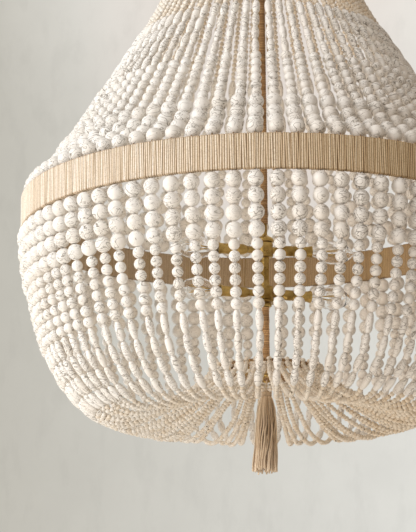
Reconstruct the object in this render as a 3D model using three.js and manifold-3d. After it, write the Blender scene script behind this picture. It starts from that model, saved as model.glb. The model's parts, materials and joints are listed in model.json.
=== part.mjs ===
// A beaded chandelier, in millimetres, +Z up.
// The origin is the centre of the ceiling plate's top face, so the whole fixture hangs below zero.
// From the top it has a ceiling plate with its canopy, a short chain, a wrapped stem, a crown ring, a wide
// wrapped hoop, a small bottom ring with a tassel, and strings of stone beads from ring to ring.
import * as THREE from 'three';
import { mergeVertices } from 'three/addons/utils/BufferGeometryUtils.js';
import Module from 'manifold-3d';

const wasm = await Module();
wasm.setup();

// Clearances and facets
const gap = 0.3;
const overrun = 1;
const jointSplit = 0.3;
const roundSides = 8;
const wireSides = 5;
const nutSides = 6;
const wireStepsPerHalf = 6;
const fineWireStepsPerHalf = 4;
const FULL_TURN = 2 * Math.PI;
const QUARTER_TURN = Math.PI / 2;

// Ceiling plate and canopy
const plateRadius = 52;
const plateThickness = 2.5;
const plateHoleRadius = 2.8;
const plateHoleCircle = 38;
const studRadius = 4.8;
const studLength = 15;
const canopyRadius = 65;
const canopyDepth = 26;
const canopyWall = 1.6;
const canopySides = 16;
const canopyCollarRadius = 13;
const canopyCollarHeight = 5;

// Chain and the two loops that it hangs between
const linkWire = 5;
const linkInnerLength = 32;
const linkInnerWidth = 14;
const linkCount = 3;
const loopInnerRadius = 8;
const loopNeckRadius = 6.5;
const loopNeckHeight = 9;
const topLoopNeckRadius = 7.5;
const topLoopNeckHeight = 16;

// Stem and its jute winding
const stemRadius = 3.5;
const stemBore = 2.2;
const stemInsertion = 9;
const wrapRadius = 5;
const loopToCrown = 46;

// Crown ring, from which the upper strings start
const crownRadius = 88;
const crownHeight = 405;
const flatBarWidth = 3;
const flatBarHeight = 6;
const bindingWidth = 7;
const bindingHeight = 10;
const ringStepsPerSector = 3;
const hubRadius = 9;
const hubHeight = 10;
const armCount = 4;
const armWidth = 4;
const armHeight = 4;
const nutRadius = 8;
const nutHeight = 5;

// Wide hoop at the middle and its jute winding
const hoopRadius = 320;
const hoopHeight = 45;
const hoopBarThickness = 3;
const hoopWrapThickness = 8;
const hoopBarMargin = 2.5;
const hoopSteps = 28;

// Slender ribs that carry the hoop from the crown ring
const ribCount = 4;
const ribThickness = 4;
const ribInset = 21;
const ribFootRise = 8;

// Small ring at the bottom, where the lower strings end
const bottomRingRadius = 60;
const bottomRingDrop = 204;

// Strings of beads
const strandCount = 77;
const sectorCount = 7;
const firstStrandShare = 0.38;
const largeBead = 20;
const largeBeadCount = 4;
const smallBead = 14;
const smallBeadCount = 6;
const ovalBeadWidth = 10;
const ovalBeadLength = 26;
const ovalBeadCount = 4;
const seedBead = 6;
const threadHole = 3.2;
const strandSides = 3;
const beadFullnessShare = 1.12;
const tiedShare = 0.8;
const bowlDepth = 247;

// The sweep of the upper strings: [share of the way out from the crown ring, share of the way up]
const upperSweepShares = [
  [1, 0],
  [0.965, 0.024],
  [0.869, 0.07],
  [0.793, 0.14],
  [0.652, 0.27],
  [0.462, 0.454],
  [0.244, 0.668],
];

// The sweep of the lower strings: [share of the way out from the bottom ring, share of the bowl's depth]
const lowerSweepShares = [
  [1, 0],
  [0.998, 0.05],
  [0.99, 0.16],
  [0.965, 0.32],
  [0.926, 0.5],
  [0.865, 0.68],
  [0.774, 0.84],
  [0.632, 0.966],
  [0.503, 1],
  [0.228, 0.892],
];

// Light cluster on the stem
const wrapEndDrop = 8;
const clusterDrop = 24;
const capRadius = 12;
const capHeight = 9;
const bodyRadius = 11;
const bodyHeight = 20;
const spacerRadius = 6;
const spacerLength = 38;
const discRadius = 15;
const discThickness = 2.5;
const outletRadius = 4.5;
const outletLength = 12;
const upperTierTurn = THREE.MathUtils.degToRad(13.5);
const lowerTierTurn = THREE.MathUtils.degToRad(21);
const lightsPerTier = 2;
const socketRadius = 7;
const socketLength = 40;
const socketWall = 1.2;
const socketLipRadius = 8.2;
const socketLipLength = 4;
const socketBottom = 12;
const bulbBaseRadius = 5.4;
const bulbBaseLength = 24;
const bulbNeckRadius = 5.2;
const bulbRadius = 15;
const bulbLength = 62;
const bulbWall = 1;

// Tassel and the eye that it hangs in
const eyeInnerRadius = 3;
const eyeWire = 2;
const eyeNeckRadius = 5;
const eyeNeckHeight = 2.4;
const tasselCordWire = 2;
const tasselCordLength = 11;
const tasselCordWidth = 5;
const tasselHeadRadius = 5.5;
const tasselHeadHeight = 8;
const tasselBandRadius = 6.6;
const tasselBandHeight = 5;
const tasselSkirtLength = 96;
const tasselSkirtRadius = 17;
const tasselFoldCount = 14;
const tasselFoldDepth = 2.2;

// The tassel's skirt: [share of its length, share of its widest radius]
const tasselSkirtShares = [
  [0, 0.32],
  [0.18, 0.55],
  [0.5, 0.8],
  [1, 1],
];

// Heights worked out from the sizes above, all measured from the ceiling
const wireRadius = linkWire / 2;
const canopyBottom = -canopyDepth;
const loopTop = canopyBottom - canopyCollarHeight;
const loopRingRadius = loopInnerRadius + wireRadius;
const canopyLoopCentre = loopTop - loopNeckHeight - loopRingRadius;
const linkPitch = linkInnerLength - gap;
const firstHinge = canopyLoopCentre - loopRingRadius;
const lastHinge = firstHinge - linkCount * linkPitch;
const topLoopCentre = lastHinge + linkWire + gap - loopRingRadius;
const topLoopNeckTop = topLoopCentre - loopInnerRadius;
const topLoopBottom = topLoopNeckTop - topLoopNeckHeight;
const crownZ = topLoopBottom - loopToCrown;
const hoopZ = crownZ - crownHeight;
const bottomRingZ = hoopZ - bottomRingDrop;
const stemTop = topLoopBottom + stemInsertion;
const stemBottom = bottomRingZ - hubHeight / 2;
const clusterTop = hoopZ - clusterDrop;
const upperBodyTop = clusterTop - capHeight - gap;
const spacerTop = upperBodyTop - bodyHeight - gap;
const lowerBodyTop = spacerTop - spacerLength - gap;
const discTop = lowerBodyTop - bodyHeight - gap;
const clusterNutTop = discTop - discThickness - gap;
const clusterBottom = clusterNutTop - nutHeight;
const eyeRingRadius = eyeInnerRadius + eyeWire / 2;
const eyeTop = stemBottom - gap;
const eyeCentre = eyeTop - eyeNeckHeight - eyeRingRadius;
const tasselHinge = eyeCentre - eyeRingRadius;
const tasselCordTop = tasselHinge + eyeWire / 2 + gap + tasselCordWire / 2;
const tasselTop = tasselCordTop - tasselCordLength - tasselCordWire / 2 - gap;
const hoopBarRadius = hoopRadius - hoopWrapThickness / 2;
const hoopFacetDepth = hoopRadius * (1 - Math.cos(Math.PI / hoopSteps));
const strandRadius = hoopBarRadius - hoopFacetDepth / 2;
const ringSteps = ringStepsPerSector * sectorCount;
const crownFacetDepth = crownRadius * (1 - Math.cos(Math.PI / ringSteps));
const sectorTurn = FULL_TURN / sectorCount;
const strandTurn = FULL_TURN / strandCount;
const strandsPerSector = Math.round(strandCount / sectorCount);
const firstStrandAngle = -QUARTER_TURN - firstStrandShare * strandTurn;

// Finishes
const beadStone = new THREE.MeshStandardMaterial({ color: 0xece4d8, roughness: 0.45, metalness: 0 });
const jute = new THREE.MeshStandardMaterial({ color: 0xc4a57a, roughness: 0.95, metalness: 0 });
const tasselYarn = new THREE.MeshStandardMaterial({ color: 0x9c8465, roughness: 0.95, metalness: 0 });
const paintedSteel = new THREE.MeshStandardMaterial({ color: 0xa88c5e, roughness: 0.55, metalness: 0.4 });
const agedBrass = new THREE.MeshStandardMaterial({ color: 0x735a26, roughness: 0.4, metalness: 0.9 });
const clearGlass = new THREE.MeshStandardMaterial({
  color: 0xf4f4ee,
  roughness: 0.05,
  metalness: 0,
  transparent: true,
  opacity: 0.3,
});
const bulbMetal = new THREE.MeshStandardMaterial({ color: 0xb8a26a, roughness: 0.35, metalness: 0.9 });

const chandelier = new THREE.Group();

function addMesh(name, geometry, material, parent = chandelier) {
  const mesh = new THREE.Mesh(geometry, material);
  mesh.name = name;
  parent.add(mesh);
  return mesh;
}

// Keeps only the positions, merges shared corners, drops collapsed faces and turns the faces outwards
function tidy(geometry) {
  const bare = geometry.clone();
  bare.deleteAttribute('normal');
  bare.deleteAttribute('uv');
  const merged = mergeVertices(bare);
  const index = merged.index.array;
  const at = merged.attributes.position;
  const faces = [];
  const corners = [new THREE.Vector3(), new THREE.Vector3(), new THREE.Vector3()];
  let volume = 0;
  for (let i = 0; i < index.length; i += 3) {
    const [a, b, c] = [index[i], index[i + 1], index[i + 2]];
    if (a === b || b === c || c === a) continue;
    faces.push([a, b, c]);
    corners.forEach((corner, j) => corner.fromBufferAttribute(at, faces.at(-1)[j]));
    volume += corners[0].dot(corners[1].clone().cross(corners[2]));
  }
  const turned = volume < 0 ? faces.map(([a, b, c]) => [a, c, b]) : faces;
  merged.setIndex(turned.flat());
  return merged;
}

function toSolid(geometry) {
  const { index, attributes } = tidy(geometry);
  const vertProperties = Float32Array.from(attributes.position.array);
  const triVerts = Uint32Array.from(index.array);
  return new wasm.Manifold(new wasm.Mesh({ numProp: 3, vertProperties, triVerts }));
}

function toGeometry(solid) {
  const { vertProperties, triVerts } = solid.getMesh();
  const geometry = new THREE.BufferGeometry();
  geometry.setAttribute('position', new THREE.BufferAttribute(vertProperties, 3));
  geometry.setIndex(new THREE.BufferAttribute(triVerts, 1));
  return geometry;
}

const join = (geometries) => geometries.map(toSolid).reduce((sum, solid) => sum.add(solid));
const cut = (solid, geometries) =>
  geometries.map(toSolid).reduce((rest, tool) => rest.subtract(tool), solid);

// Skins a row of closed sections that have the same number of corners; closed joins the last to the first
function loft(sections, closed = false) {
  const sides = sections[0].length;
  const points = sections.flat();
  const faces = [];
  const steps = closed ? sections.length : sections.length - 1;
  for (let i = 0; i < steps; i += 1) {
    const here = i * sides;
    const next = ((i + 1) % sections.length) * sides;
    for (let j = 0; j < sides; j += 1) {
      const k = (j + 1) % sides;
      faces.push(here + j, here + k, next + k, here + j, next + k, next + j);
    }
  }
  if (!closed) {
    const last = (sections.length - 1) * sides;
    for (let j = 1; j < sides - 1; j += 1) {
      faces.push(0, j + 1, j, last, last + j, last + j + 1);
    }
  }
  const geometry = new THREE.BufferGeometry().setFromPoints(points);
  geometry.setIndex(faces);
  return tidy(geometry);
}

// Turns [radius, height] pairs about the vertical axis; a profile on the axis or closed gives one body
function turn(profile, segments = roundSides) {
  const outline = profile.map(([radius, height]) => new THREE.Vector2(radius, height));
  return tidy(new THREE.LatheGeometry(outline, segments).rotateX(QUARTER_TURN));
}

const closedProfile = (profile) => [...profile, profile[0]];

function washer(outer, inner, top, height, segments = roundSides) {
  const low = top - height;
  return turn(closedProfile([[inner, low], [outer, low], [outer, top], [inner, top]]), segments);
}

const disc = (radius, top, height, segments = roundSides) =>
  turn([[0, top - height], [radius, top - height], [radius, top], [0, top]], segments);

// A round section of wire, square to the direction of travel, with one corner on the side it names
function wireSection(centre, side, across, radius, sides = wireSides) {
  return Array.from({ length: sides }, (_, j) => {
    const angle = (j * FULL_TURN) / sides;
    return centre
      .clone()
      .addScaledVector(side, radius * Math.cos(angle))
      .addScaledVector(across, radius * Math.sin(angle));
  });
}

// A link or ring of wire in a standing plane: two half circles joined by straights of the given length
function wireLoop(centreZ, innerWidth, straight, wire, inX, stepsPerHalf = wireStepsPerHalf) {
  const flat = inX ? new THREE.Vector3(1, 0, 0) : new THREE.Vector3(0, 1, 0);
  const across = inX ? new THREE.Vector3(0, 1, 0) : new THREE.Vector3(-1, 0, 0);
  const up = new THREE.Vector3(0, 0, 1);
  const bend = (innerWidth + wire) / 2;
  const sections = [];
  for (const half of [0, 1]) {
    const steps = straight > 0 ? stepsPerHalf : stepsPerHalf - 1;
    for (let i = 0; i <= steps; i += 1) {
      const angle = Math.PI * (half + i / stepsPerHalf);
      const out = flat.clone().multiplyScalar(Math.cos(angle)).addScaledVector(up, Math.sin(angle));
      const centre = out.clone().multiplyScalar(bend);
      centre.z += centreZ + (half === 0 ? straight : -straight) / 2;
      sections.push(wireSection(centre, out.clone().negate(), across, wire / 2));
    }
  }
  return loft(sections, true);
}

// A box-shaped bar that leaves the axis at the given angle
function radialBar(inner, outer, width, height, centreZ, angle) {
  const bar = new THREE.BoxGeometry(outer - inner, width, height);
  bar.translate((inner + outer) / 2, 0, centreZ);
  return bar.rotateZ(angle);
}

// A stretch of a ring with a rectangular section
function ringStretch(radius, width, height, centreZ, from, to, steps) {
  const corners = [[-0.5, -0.5], [0.5, -0.5], [0.5, 0.5], [-0.5, 0.5]];
  const sections = Array.from({ length: steps + 1 }, (_, i) => {
    const angle = from + ((to - from) * i) / steps;
    return corners.map(([out, up]) => {
      const reach = radius + out * width;
      return new THREE.Vector3(reach * Math.cos(angle), reach * Math.sin(angle), centreZ + up * height);
    });
  });
  return loft(sections);
}

function flatRing(radius, width, height, centreZ, segments) {
  const low = centreZ - height / 2;
  return washer(radius + width / 2, radius - width / 2, low + height, height, segments);
}

// The ceiling plate: a disc with two screw holes and a stud for the canopy loop
function ceilingPlate() {
  const plate = disc(plateRadius, 0, plateThickness, canopySides);
  const stud = disc(studRadius, -plateThickness + overrun, studLength + overrun);
  const holes = [-1, 1].map((side) =>
    disc(plateHoleRadius, overrun, plateThickness + 2 * overrun).translate(side * plateHoleCircle, 0, 0));
  return toGeometry(cut(join([plate, stud]), holes));
}

// The canopy: a thin cup, open at the ceiling, with a hole at the bottom for the loop's neck
function canopy() {
  const hole = loopNeckRadius + gap;
  const shoulder = canopyDepth / 3;
  const innerRadius = canopyRadius - canopyWall;
  const innerDepth = canopyWall - canopyDepth;
  return turn(closedProfile([
    [canopyRadius, 0],
    [canopyRadius, -shoulder],
    [canopyRadius - 2 * shoulder, canopyBottom],
    [hole, canopyBottom],
    [hole, innerDepth],
    [innerRadius - 2 * shoulder, innerDepth],
    [innerRadius, -shoulder],
    [innerRadius, 0],
  ]), canopySides);
}

// The canopy loop: a threaded neck that climbs onto the plate's stud, a nut collar and a ring of wire
function canopyLoop() {
  const neckTop = -plateThickness - gap;
  const neckBottom = canopyLoopCentre + loopInnerRadius;
  const neck = disc(loopNeckRadius, neckTop, neckTop - neckBottom + gap, roundSides);
  const ring = wireLoop(canopyLoopCentre, 2 * loopInnerRadius, 0, linkWire, true);
  const socket = disc(studRadius + gap, neckTop + overrun, studLength + overrun + gap);
  return toGeometry(cut(join([neck, ring]), [socket]));
}

function canopyCollar() {
  const top = canopyBottom - gap;
  const height = canopyCollarHeight - gap;
  const bore = loopNeckRadius + gap;
  return turn(closedProfile([
    [bore, top - height],
    [canopyCollarRadius - height / 2, top - height],
    [canopyCollarRadius, top],
    [bore, top],
  ]));
}

function chainLink(number) {
  const hinge = firstHinge - number * linkPitch;
  const topWire = hinge + linkWire + gap;
  const straight = linkInnerLength - linkInnerWidth;
  const centre = topWire - (linkInnerLength + linkWire) / 2;
  return wireLoop(centre, linkInnerWidth, straight, linkWire, number % 2 === 1);
}

// The loop on top of the stem: a ring of wire on a neck with a socket for the pipe
function topLoop() {
  const neck = turn([
    [0, topLoopBottom],
    [topLoopNeckRadius, topLoopBottom],
    [topLoopNeckRadius, topLoopNeckTop - wireRadius],
    [topLoopNeckRadius - wireRadius, topLoopNeckTop - gap],
    [0, topLoopNeckTop - gap],
  ]);
  const ring = wireLoop(topLoopCentre, 2 * loopInnerRadius, 0, linkWire, linkCount % 2 === 1);
  const socket = disc(stemRadius + gap, stemTop + gap, stemInsertion + gap + overrun);
  return toGeometry(cut(join([neck, ring]), [socket]));
}

const stemPipe = () => washer(stemRadius, stemBore, stemTop, stemTop - stemBottom);
function stemNut(top) {
  const blank = toSolid(disc(nutRadius, top, nutHeight, nutSides));
  return toGeometry(cut(blank, [disc(stemRadius + gap, top + overrun, nutHeight + 2 * overrun)]));
}

const stemWrap = (top, bottom) => washer(wrapRadius, stemRadius + gap, top, top - bottom);

const armAngles = Array.from({ length: armCount }, (_, i) => ((i + 0.5) * FULL_TURN) / armCount);

// A ring of flat bar on arms, with a hub for the stem
function spiderRing(radius, centreZ) {
  const ring = flatRing(radius, flatBarWidth, flatBarHeight, centreZ, ringSteps);
  ring.rotateZ(firstStrandAngle - strandTurn / 2 + QUARTER_TURN);
  const hub = disc(hubRadius, centreZ + hubHeight / 2, hubHeight);
  const arms = armAngles.map((angle) =>
    radialBar(hubRadius / 2, radius, armWidth, armHeight, centreZ, angle));
  const bore = disc(stemRadius + gap, centreZ + hubHeight, 2 * hubHeight);
  return toGeometry(cut(join([ring, hub, ...arms]), [bore]));
}

// The arms again, grown by the gap, to cut their slots in the bindings
const armSlots = (radius, centreZ) =>
  armAngles.map((angle) =>
    radialBar(hubRadius, radius, armWidth + 2 * gap, armHeight + 2 * gap, centreZ, angle));

// A strand's path in the plane of its own radius, as a smooth curve through the sweep's points
function sweepCurve(places) {
  const points = places.map(([out, z]) => new THREE.Vector3(out, 0, z));
  return new THREE.CatmullRomCurve3(points, false, 'centripetal');
}

const upperStart = hoopZ + hoopHeight / 2 + gap;
const upperSweep = upperSweepShares.map(([out, up]) => [
  crownRadius + out * (strandRadius - crownRadius),
  upperStart + up * (crownZ - upperStart),
]);
const tieHeight = (centreZ) => centreZ - bindingHeight / 2;
const upperCurve = sweepCurve([...upperSweep, [crownRadius, tieHeight(crownZ)]]);

const lowerStart = hoopZ - hoopHeight / 2 - gap;
const lowerSweep = lowerSweepShares.map(([out, down]) => [
  bottomRingRadius + out * (strandRadius - bottomRingRadius),
  lowerStart - down * bowlDepth,
]);
const lowerCurve = sweepCurve([...lowerSweep, [bottomRingRadius, tieHeight(bottomRingZ)]]);

// Where along a strand its sections stand, and how thick each is: large beads one by one, then plain runs
const largeRun = largeBeadCount * largeBead;
const smallRun = smallBeadCount * smallBead;
const ovalRun = ovalBeadCount * ovalBeadLength;

function largeBeadStations() {
  const stations = [];
  for (let i = 0; i < largeBeadCount; i += 1) {
    stations.push([i * largeBead, threadHole], [(i + 0.5) * largeBead, largeBead / 2]);
  }
  return [...stations, [largeRun + smallBead / 4, smallBead / 2]];
}

const upperStations = (length) => [
  ...largeBeadStations(),
  [largeRun + smallRun + ovalBeadLength, ovalBeadWidth / 2],
  [length, seedBead / 2],
];

function lowerStations(length) {
  const seedRun = length - largeRun - smallRun - ovalRun;
  return [
    ...largeBeadStations(),
    [largeRun + smallRun, smallBead / 2],
    [largeRun + smallRun + (2 * ovalRun) / 3, ovalBeadWidth / 2],
    [length - (2 * seedRun) / 3, seedBead / 2],
    [length - seedRun / 3, seedBead / 2],
    [length, seedBead / 2],
  ];
}

// The end sections lie flat against the hoop and the ring's binding, and those between turn with the path
function strand(curve, stationsFor, angle) {
  const length = curve.getLength();
  const stations = stationsFor(length);
  const sections = stations.map(([place, radius], i) => {
    const share = Math.min(place / length, 1);
    const centre = curve.getPointAt(share);
    const tied = i === stations.length - 1;
    const along = curve.getTangentAt(share);
    if (tied || i === 0) along.set(0, 0, Math.sign(along.z));
    const side = new THREE.Vector3(along.z, 0, -along.x);
    const across = new THREE.Vector3(0, 1, 0);
    const twist = ((stations.length - 1 - i) * FULL_TURN) / (4 * strandSides);
    const turned = side.clone().multiplyScalar(Math.cos(twist)).addScaledVector(across, Math.sin(twist));
    const beside = across.clone().multiplyScalar(Math.cos(twist)).addScaledVector(side, -Math.sin(twist));
    const fullness = tied ? tiedShare : beadFullnessShare;
    return wireSection(centre, turned, beside, radius * fullness, strandSides);
  });
  return loft(sections).rotateZ(angle);
}

// One sector of strings, tied together by their stretch of the ring's jute binding
function strandSector(sector, radius, centreZ, strands) {
  const from = firstStrandAngle + (sector * strandsPerSector - 0.5) * strandTurn;
  const split = jointSplit / (2 * radius);
  const stretch = [from + split, from + sectorTurn - split, ringStepsPerSector];
  const binding = ringStretch(radius, bindingWidth, bindingHeight, centreZ, ...stretch);
  const channel = ringStretch(radius, flatBarWidth + 2 * gap, flatBarHeight + 2 * gap, centreZ,
    from - split, from + sectorTurn + split, ringStepsPerSector);
  return toGeometry(cut(join([binding, ...strands]), [channel, ...armSlots(radius, centreZ)]));
}

const sectorStrandAngles = (sector) =>
  Array.from({ length: strandsPerSector }, (_, i) =>
    firstStrandAngle + (sector * strandsPerSector + i) * strandTurn);

function upperSector(sector) {
  const strands = sectorStrandAngles(sector).map((angle) => strand(upperCurve, upperStations, angle));
  return strandSector(sector, crownRadius, crownZ, strands);
}

function lowerSector(sector) {
  const strands = sectorStrandAngles(sector).map((angle) => strand(lowerCurve, lowerStations, angle));
  return strandSector(sector, bottomRingRadius, bottomRingZ, strands);
}

const hoopBarHeight = hoopHeight - 2 * hoopBarMargin;
const hoopBar = () => flatRing(hoopBarRadius, hoopBarThickness, hoopBarHeight, hoopZ, hoopSteps);

// The hoop's winding is one hollow sleeve round the bar, open where its two ends meet
function hoopWrap() {
  const split = jointSplit / (2 * hoopRadius);
  const end = FULL_TURN - split;
  const sleeve = ringStretch(hoopBarRadius, hoopWrapThickness, hoopHeight, hoopZ, split, end, hoopSteps);
  const channelWidth = hoopBarThickness + 2 * gap;
  const channelHeight = hoopBarHeight + 2 * gap;
  const channel = flatRing(hoopBarRadius, channelWidth, channelHeight, hoopZ, hoopSteps);
  return toGeometry(cut(toSolid(sleeve), [channel]));
}

// A rib follows the strings inside the shade, from the hoop's inner face up to the crown binding
function frameRib(angle) {
  const footRadius = hoopRadius - hoopWrapThickness - hoopFacetDepth - gap - ribThickness / 2;
  const headRadius = crownRadius - crownFacetDepth - bindingWidth / 2 - gap - ribThickness / 2;
  const places = [
    [footRadius, hoopZ - ribFootRise],
    [footRadius, hoopZ + ribFootRise],
    ...upperSweep.slice(2).map(([out, z]) => [out - ribInset, z]),
    [headRadius, crownZ - bindingHeight],
    [headRadius, crownZ + bindingHeight / 2],
  ].map(([out, z]) => new THREE.Vector3(out, 0, z));
  const half = ribThickness / 2;
  const across = new THREE.Vector3(0, half, 0);
  const sections = places.map((place, i) => {
    const before = places[Math.max(i - 1, 0)];
    const after = places[Math.min(i + 1, places.length - 1)];
    const along = after.clone().sub(before).normalize();
    const side = new THREE.Vector3(along.z, 0, -along.x).multiplyScalar(half);
    return [[-1, -1], [1, -1], [1, 1], [-1, 1]].map(([out, beside]) =>
      place.clone().addScaledVector(side, out).addScaledVector(across, beside));
  });
  return loft(sections).rotateZ(angle);
}

const ribAngle = (number) =>
  firstStrandAngle + Math.round((number * strandCount) / ribCount) * strandTurn;

// One light: its socket cup, the bulb's screw base inside it and the clear glass beyond, all along +X
const socketStart = bodyRadius + outletLength + gap;
const socketFloor = socketStart + socketBottom;
const socketEnd = socketStart + socketLength;
const bulbBaseStart = socketFloor + gap;
const glassStart = bulbBaseStart + bulbBaseLength + gap;

const alongX = (geometry, z, turnAngle) =>
  geometry.rotateY(QUARTER_TURN).translate(0, 0, z).rotateZ(turnAngle);

function socketCup(z, turnAngle) {
  const bore = socketRadius - socketWall;
  const profile = [
    [0, socketStart],
    [outletRadius, socketStart],
    [socketRadius, socketStart + socketBottom / 2],
    [socketRadius, socketEnd - socketLipLength],
    [socketLipRadius, socketEnd],
    [bore, socketEnd],
    [bore, socketFloor],
    [0, socketFloor],
  ];
  return alongX(turn(profile), z, turnAngle);
}

function bulbBase(z, turnAngle) {
  const tip = bulbBaseRadius / 2;
  const profile = [
    [0, bulbBaseStart],
    [tip, bulbBaseStart],
    [bulbBaseRadius, bulbBaseStart + tip],
    [bulbBaseRadius, bulbBaseStart + bulbBaseLength],
    [0, bulbBaseStart + bulbBaseLength],
  ];
  return alongX(turn(profile), z, turnAngle);
}

// The glass: [share of its length, share of the way from the neck's radius to the widest one]
const bulbShares = [
  [0, 0],
  [0.12, 0.12],
  [0.42, 0.95],
  [0.62, 0.98],
  [0.86, 0.5],
];

function bulbGlass(z, turnAngle) {
  const place = ([along, out], wall) => [
    bulbNeckRadius + out * (bulbRadius - bulbNeckRadius) - wall,
    glassStart + along * bulbLength,
  ];
  const outside = bulbShares.map((shares) => place(shares, 0));
  const inside = bulbShares.map((shares) => place(shares, bulbWall));
  const tip = glassStart + bulbLength;
  return alongX(turn([[0, tip], ...outside.reverse(), ...inside, [0, tip - bulbWall]]), z, turnAngle);
}

// A hub on the stem with one outlet for each light
function clusterBody(top, turnAngle) {
  const centre = top - bodyHeight / 2;
  const hub = disc(bodyRadius, top, bodyHeight);
  const outlets = tierAngles(turnAngle).map((angle) =>
    alongX(turn([
      [0, 0],
      [outletRadius, 0],
      [outletRadius, bodyRadius + outletLength],
      [0, bodyRadius + outletLength],
    ]), centre, angle));
  const bore = disc(stemRadius + gap, top + overrun, bodyHeight + 2 * overrun);
  return toGeometry(cut(join([hub, ...outlets]), [bore]));
}

function tierAngles(turnAngle) {
  return Array.from({ length: lightsPerTier }, (_, i) => turnAngle + (i * FULL_TURN) / lightsPerTier);
}

function clusterCap() {
  const bore = stemRadius + gap;
  return turn(closedProfile([
    [bore, clusterTop - capHeight],
    [capRadius, clusterTop - capHeight],
    [capRadius, clusterTop - capHeight / 2],
    [capRadius / 2, clusterTop],
    [bore, clusterTop],
  ]));
}

// The eye under the bottom ring's hub, in which the tassel's cord hangs
function bottomEye() {
  const neck = disc(eyeNeckRadius, eyeTop, eyeNeckHeight + eyeWire / 2);
  const eye = wireLoop(eyeCentre, 2 * eyeInnerRadius, 0, eyeWire, true, fineWireStepsPerHalf);
  return toGeometry(join([neck, eye]));
}

function tasselCord() {
  const centre = tasselCordTop - tasselCordLength / 2;
  const straight = tasselCordLength - tasselCordWidth - tasselCordWire;
  return wireLoop(centre, tasselCordWidth, straight, tasselCordWire, false, fineWireStepsPerHalf);
}

// The tassel: a bound head above a skirt whose yarns fall in folds
function tassel() {
  const head = turn([
    [0, tasselTop - tasselHeadHeight - overrun],
    [tasselHeadRadius, tasselTop - tasselHeadHeight - overrun],
    [tasselHeadRadius, tasselTop - tasselHeadHeight / 3],
    [tasselHeadRadius / 2, tasselTop],
    [0, tasselTop],
  ]);
  const skirtTop = tasselTop - tasselHeadHeight;
  const corners = 2 * tasselFoldCount;
  const sections = tasselSkirtShares.map(([down, out]) =>
    Array.from({ length: corners }, (_, j) => {
      const angle = (j * FULL_TURN) / corners;
      const reach = out * (tasselSkirtRadius - (j % 2) * tasselFoldDepth);
      const height = skirtTop - down * tasselSkirtLength;
      return new THREE.Vector3(reach * Math.cos(angle), reach * Math.sin(angle), height);
    }));
  return toGeometry(join([head, loft(sections)]));
}

// The thread wound round the tassel's neck
function tasselBand() {
  const top = tasselTop - tasselHeadHeight / 3 - gap;
  const inner = tasselHeadRadius + gap;
  return washer(tasselBandRadius, inner, top, tasselBandHeight);
}

addMesh('ceiling_plate', ceilingPlate(), paintedSteel);
addMesh('canopy', canopy(), agedBrass);
addMesh('canopy_loop', canopyLoop(), agedBrass);
addMesh('canopy_collar', canopyCollar(), agedBrass);
for (let i = 0; i < linkCount; i += 1) {
  addMesh(`chain_link_${i + 1}`, chainLink(i), agedBrass);
}
addMesh('top_loop', topLoop(), agedBrass);
addMesh('stem_pipe', stemPipe(), agedBrass);
const hubHalf = hubHeight / 2 + gap;
addMesh('stem_wrap_top', stemWrap(topLoopBottom - gap, crownZ + hubHalf), jute);
addMesh('stem_wrap_middle', stemWrap(crownZ - hubHalf - nutHeight - gap, hoopZ - wrapEndDrop), jute);
addMesh('stem_wrap_bottom', stemWrap(clusterBottom - gap, bottomRingZ + hubHalf), jute);
addMesh('crown_ring', spiderRing(crownRadius, crownZ), paintedSteel);
addMesh('crown_nut', stemNut(crownZ - hubHalf), agedBrass);
addMesh('main_hoop', hoopBar(), paintedSteel);
addMesh('hoop_jute_wrap', hoopWrap(), jute);
for (let i = 0; i < ribCount; i += 1) {
  addMesh(`frame_rib_${i + 1}`, frameRib(ribAngle(i)), paintedSteel);
}
addMesh('bottom_ring', spiderRing(bottomRingRadius, bottomRingZ), paintedSteel);
for (let i = 0; i < sectorCount; i += 1) {
  addMesh(`upper_strands_${i + 1}`, upperSector(i), beadStone);
  addMesh(`lower_strands_${i + 1}`, lowerSector(i), beadStone);
}
addMesh('cluster_cap', clusterCap(), agedBrass);
addMesh('upper_cluster_body', clusterBody(upperBodyTop, upperTierTurn), agedBrass);
addMesh('cluster_spacer', washer(spacerRadius, stemRadius + gap, spacerTop, spacerLength), agedBrass);
addMesh('lower_cluster_body', clusterBody(lowerBodyTop, lowerTierTurn), agedBrass);
addMesh('cluster_disc', washer(discRadius, stemRadius + gap, discTop, discThickness), agedBrass);
addMesh('cluster_nut', stemNut(clusterNutTop), agedBrass);
const lights = [
  ...tierAngles(upperTierTurn).map((angle) => [upperBodyTop - bodyHeight / 2, angle]),
  ...tierAngles(lowerTierTurn).map((angle) => [lowerBodyTop - bodyHeight / 2, angle]),
];
lights.forEach(([z, angle], i) => {
  addMesh(`socket_${i + 1}`, socketCup(z, angle), agedBrass);
  addMesh(`bulb_base_${i + 1}`, bulbBase(z, angle), bulbMetal);
  addMesh(`bulb_glass_${i + 1}`, bulbGlass(z, angle), clearGlass);
});
addMesh('bottom_eye', bottomEye(), agedBrass);
addMesh('tassel_cord', tasselCord(), tasselYarn);
addMesh('tassel', tassel(), tasselYarn);
addMesh('tassel_band', tasselBand(), tasselYarn);

export default chandelier;
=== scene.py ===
import json
import math
import random

import bmesh
import bpy
import numpy as np
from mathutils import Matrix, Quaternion, Vector


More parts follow.
